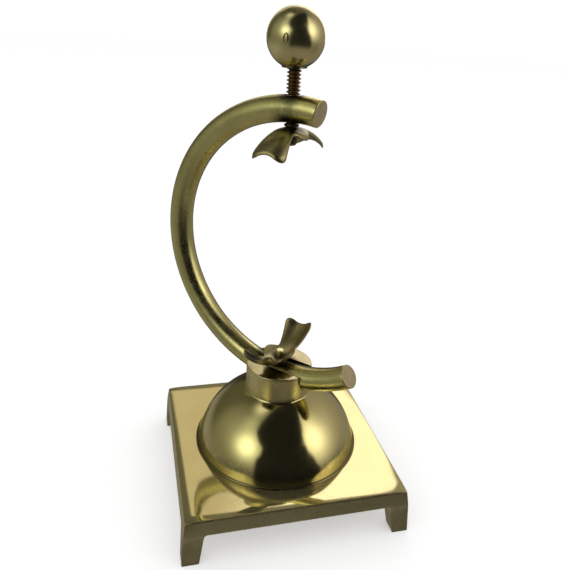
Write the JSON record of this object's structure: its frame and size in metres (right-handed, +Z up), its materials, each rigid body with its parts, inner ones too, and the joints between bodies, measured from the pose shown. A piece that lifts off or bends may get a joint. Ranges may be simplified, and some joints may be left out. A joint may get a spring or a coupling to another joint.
{
  "type": "specimen clamp stand",
  "caption": "Brass display clamp: footed square base and dome carry a C-shaped bar; a ball-headed screw lowers a dished swivelling jaw onto a fixed dished jaw.",
  "frame": {"origin": "on the ground under the centre of the base", "axes": "+Z up along the screw; X and Y along the sides of the base; the C-shaped bar stands over the diagonal from -X+Y to +X-Y"},
  "size_m": [0.1186, 0.1186, 0.2501],
  "materials": {
    "base_brass": "polished, yellow-green lacquered brass",
    "dome_brass": "mirror polished",
    "ball_brass": "mirror polished",
    "bar_brass": "antiqued, fine brush marks and pits",
    "jaw_brass": "dull brushed sheet with darker edges",
    "screw_brass": "reddish bronze thread with dark valleys",
    "steel": "dull zinc-plated"
  },
  "bodies": {
    "frame": {"base": "base_brass", "dome": "dome_brass", "arm": "bar_brass", "lower_jaw": "jaw_brass", "jaw_hub": "jaw_brass", "tie_stud": "screw_brass", "base_washer": "screw_brass", "lock_washer": "steel", "base_nut": "steel"},
    "carrier": {"thrust_washer": "screw_brass"},
    "screw": {"spindle": "screw_brass", "ball_knob": "ball_brass", "knob_pin": "ball_brass", "retaining_sleeve": "screw_brass"},
    "jaw": {"upper_jaw": "jaw_brass"}
  },
  "joints": [
    {"name": "screw_travel", "type": "slide", "parent": "frame", "child": "carrier", "axis": [0, 0, -1], "range_m": [-0.00021, 0.011]},
    {"name": "screw_turn", "type": "hinge", "parent": "carrier", "child": "screw", "pos_m": [0, 0, 0.2], "axis": [0, 0, -1], "range_deg": [-45, 2400]},
    {"name": "jaw_swivel", "type": "hinge", "parent": "carrier", "child": "jaw", "pos_m": [0, 0, 0.1995], "axis": [0, 0, -1], "continuous": true}
  ],
  "couplings": [
    {"joint": "screw_travel", "follows": "screw_turn", "m_per_rad": 0.00026261}
  ]
}
